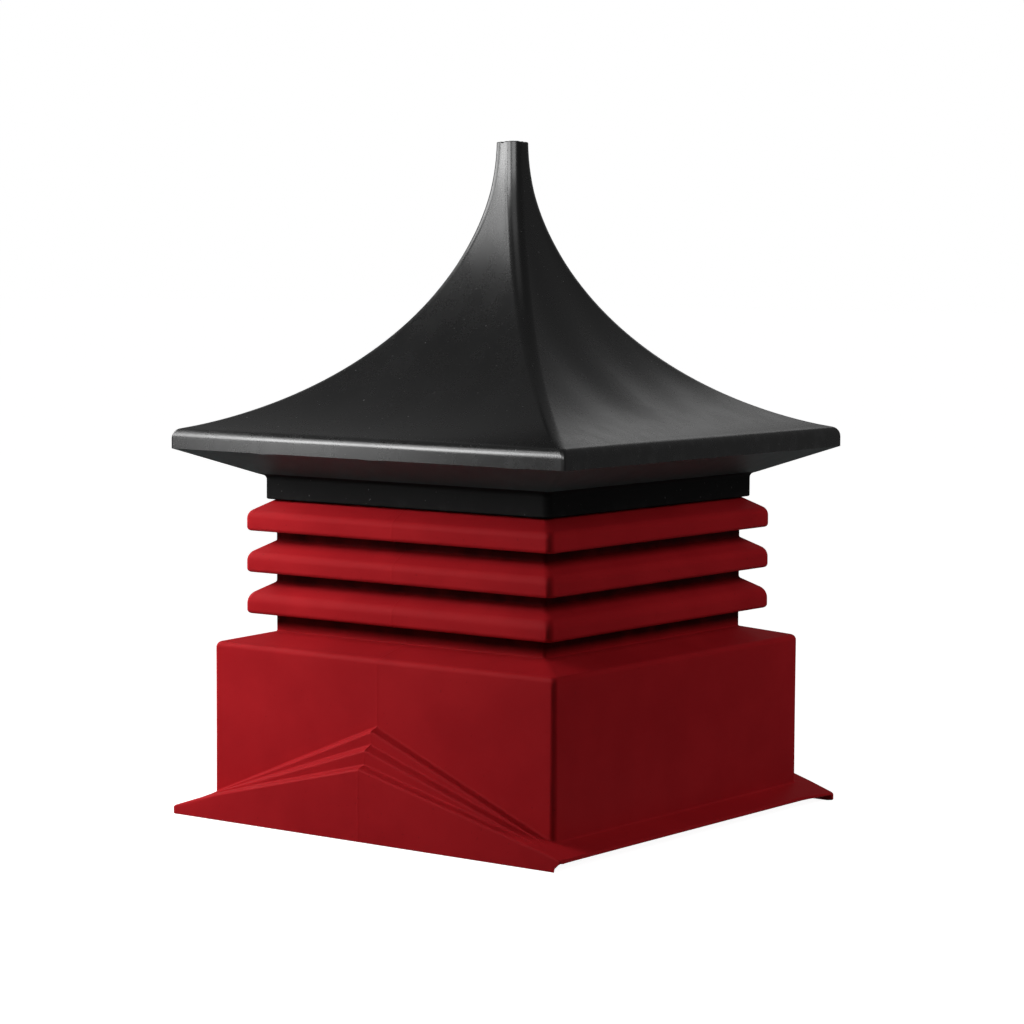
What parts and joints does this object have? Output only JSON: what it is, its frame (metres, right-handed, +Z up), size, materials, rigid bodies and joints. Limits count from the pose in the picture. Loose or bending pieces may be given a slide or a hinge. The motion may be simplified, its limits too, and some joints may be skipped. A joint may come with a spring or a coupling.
{
  "type": "rooftop cupola",
  "caption": "Square louvred rooftop cupola in moulded plastic, with a red stepped base and a black roof that sweeps up to a slender tip.",
  "frame": {"origin": "centre of the footprint, on the level the gable panels stand on", "axes": "+Z up through the tip, +Y towards the back gable, +X towards the right eave"},
  "size_m": [0.6106, 0.6106, 0.8494],
  "materials": {
    "red_plastic": "satin moulded polyethylene, faint mottling, coloured right through",
    "black_plastic": "satin moulded polyethylene, soft broad sheen"
  },
  "bodies": {
    "root": {"front_roof_slope": "black_plastic", "front_soffit": "black_plastic", "front_collar": "black_plastic", "right_roof_slope": "black_plastic", "right_soffit": "black_plastic", "right_collar": "black_plastic", "back_roof_slope": "black_plastic", "back_soffit": "black_plastic", "back_collar": "black_plastic", "left_roof_slope": "black_plastic", "left_soffit": "black_plastic", "left_collar": "black_plastic", "tip_plate": "black_plastic", "front_top_louvre": "red_plastic", "right_top_louvre": "red_plastic", "back_top_louvre": "red_plastic", "left_top_louvre": "red_plastic", "front_middle_louvre": "red_plastic", "right_middle_louvre": "red_plastic", "back_middle_louvre": "red_plastic", "left_middle_louvre": "red_plastic", "front_bottom_louvre": "red_plastic", "right_bottom_louvre": "red_plastic", "back_bottom_louvre": "red_plastic", "left_bottom_louvre": "red_plastic", "front_shoulder": "red_plastic", "front_wall": "red_plastic", "right_shoulder": "red_plastic", "right_wall": "red_plastic", "back_shoulder": "red_plastic", "back_wall": "red_plastic", "left_shoulder": "red_plastic", "left_wall": "red_plastic", "left_eave_flange": "red_plastic", "right_eave_flange": "red_plastic", "front_upper_step": "red_plastic", "front_lower_step": "red_plastic", "front_gable_panel": "red_plastic", "back_upper_step": "red_plastic", "back_lower_step": "red_plastic", "back_gable_panel": "red_plastic"}
  },
  "joints": []
}
